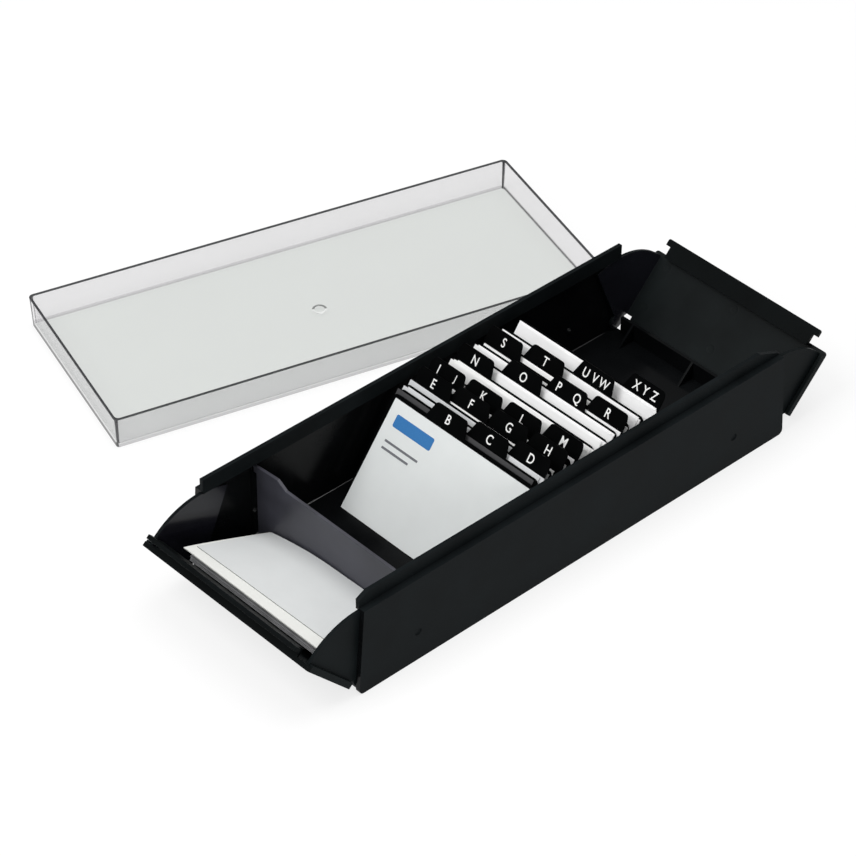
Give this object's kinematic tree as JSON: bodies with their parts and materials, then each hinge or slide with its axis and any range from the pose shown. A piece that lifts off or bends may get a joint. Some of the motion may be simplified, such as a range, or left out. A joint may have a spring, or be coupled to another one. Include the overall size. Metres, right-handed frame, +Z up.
{
  "type": "business card box",
  "caption": "Open card box: long black tray with a swinging flap at each end, lettered index sheets with filed cards, sliding partition, loose blank cards and a lift-off clear lid beside it",
  "frame": {"origin": "centre of the tray's underside, on the surface it stands on", "axes": "X across the tray, Y along it towards the rear flap, Z up"},
  "size_m": [0.2943, 0.3278, 0.0539],
  "materials": {
    "black_tray": "fine-grained black plastic",
    "black_flap": "fine-grained black plastic",
    "black_partition": "smooth black plastic",
    "black_index": "satin black plastic sheet",
    "clear_lid": "clear grey-tinted plastic",
    "printed_card": "smooth white card",
    "white_card": "smooth white card"
  },
  "bodies": {
    "box": {"tray": "black_tray", "index_b": "black_index", "index_c": "black_index", "index_d": "black_index", "index_e": "black_index", "index_f": "black_index", "index_g": "black_index", "index_h": "black_index", "index_ij": "black_index", "index_k": "black_index", "index_l": "black_index", "index_m": "black_index", "index_n": "black_index", "index_o": "black_index", "index_pq": "black_index", "index_r": "black_index", "index_s": "black_index", "index_t": "black_index", "index_uvw": "black_index", "index_xyz": "black_index", "cards_b": "white_card", "cards_c": "white_card", "cards_d": "white_card", "cards_e": "white_card", "cards_h": "white_card", "cards_l": "white_card", "cards_m": "white_card", "cards_n": "white_card", "cards_o": "white_card", "cards_pq": "white_card", "cards_s": "white_card", "cards_t": "white_card", "cards_uvw": "white_card"},
    "front_flap": {"front_flap": "black_flap"},
    "rear_flap": {"rear_flap": "black_flap"},
    "front_partition": {"front_partition": "black_partition"},
    "rear_partition": {"rear_partition": "black_partition"},
    "blank_cards": {"blank_card_1": "white_card", "blank_card_2": "white_card", "blank_card_top": "white_card", "blank_pile": "white_card"},
    "business_card": {"business_card": "printed_card"},
    "lid": {"lid": "clear_lid"}
  },
  "joints": [
    {"name": "front_flap_hinge", "type": "hinge", "parent": "box", "child": "front_flap", "pos_m": [0, -0.1262, 0.0064], "axis": [-1, 0, 0], "range_deg": [0, 46.7]},
    {"name": "rear_flap_hinge", "type": "hinge", "parent": "box", "child": "rear_flap", "pos_m": [0, 0.1262, 0.0064], "axis": [1, 0, 0], "range_deg": [0, 46.7]},
    {"name": "front_partition_slide", "type": "slide", "parent": "box", "child": "front_partition", "axis": [0, 1, 0], "range_m": [0, 0.034]},
    {"name": "rear_partition_slide", "type": "slide", "parent": "box", "child": "rear_partition", "axis": [0, 1, 0], "range_m": [0, 0.046]},
    {"name": "blank_cards_hinge", "type": "hinge", "parent": "box", "child": "blank_cards", "pos_m": [0, -0.11, 0.018], "axis": [-1, 0, 0], "range_deg": [0, 66]},
    {"name": "business_card_tip", "type": "hinge", "parent": "box", "child": "business_card", "pos_m": [0, -0.056, 0.0023], "axis": [1, 0, 0], "range_deg": [0, 36]},
    {"name": "lid_lift", "type": "slide", "parent": "box", "child": "lid", "axis": [0, 0, 1], "range_m": [0, 0.08]}
  ],
  "couplings": [
    {"joint": "blank_cards_hinge", "follows": "front_flap_hinge", "ratio": 1.4}
  ]
}
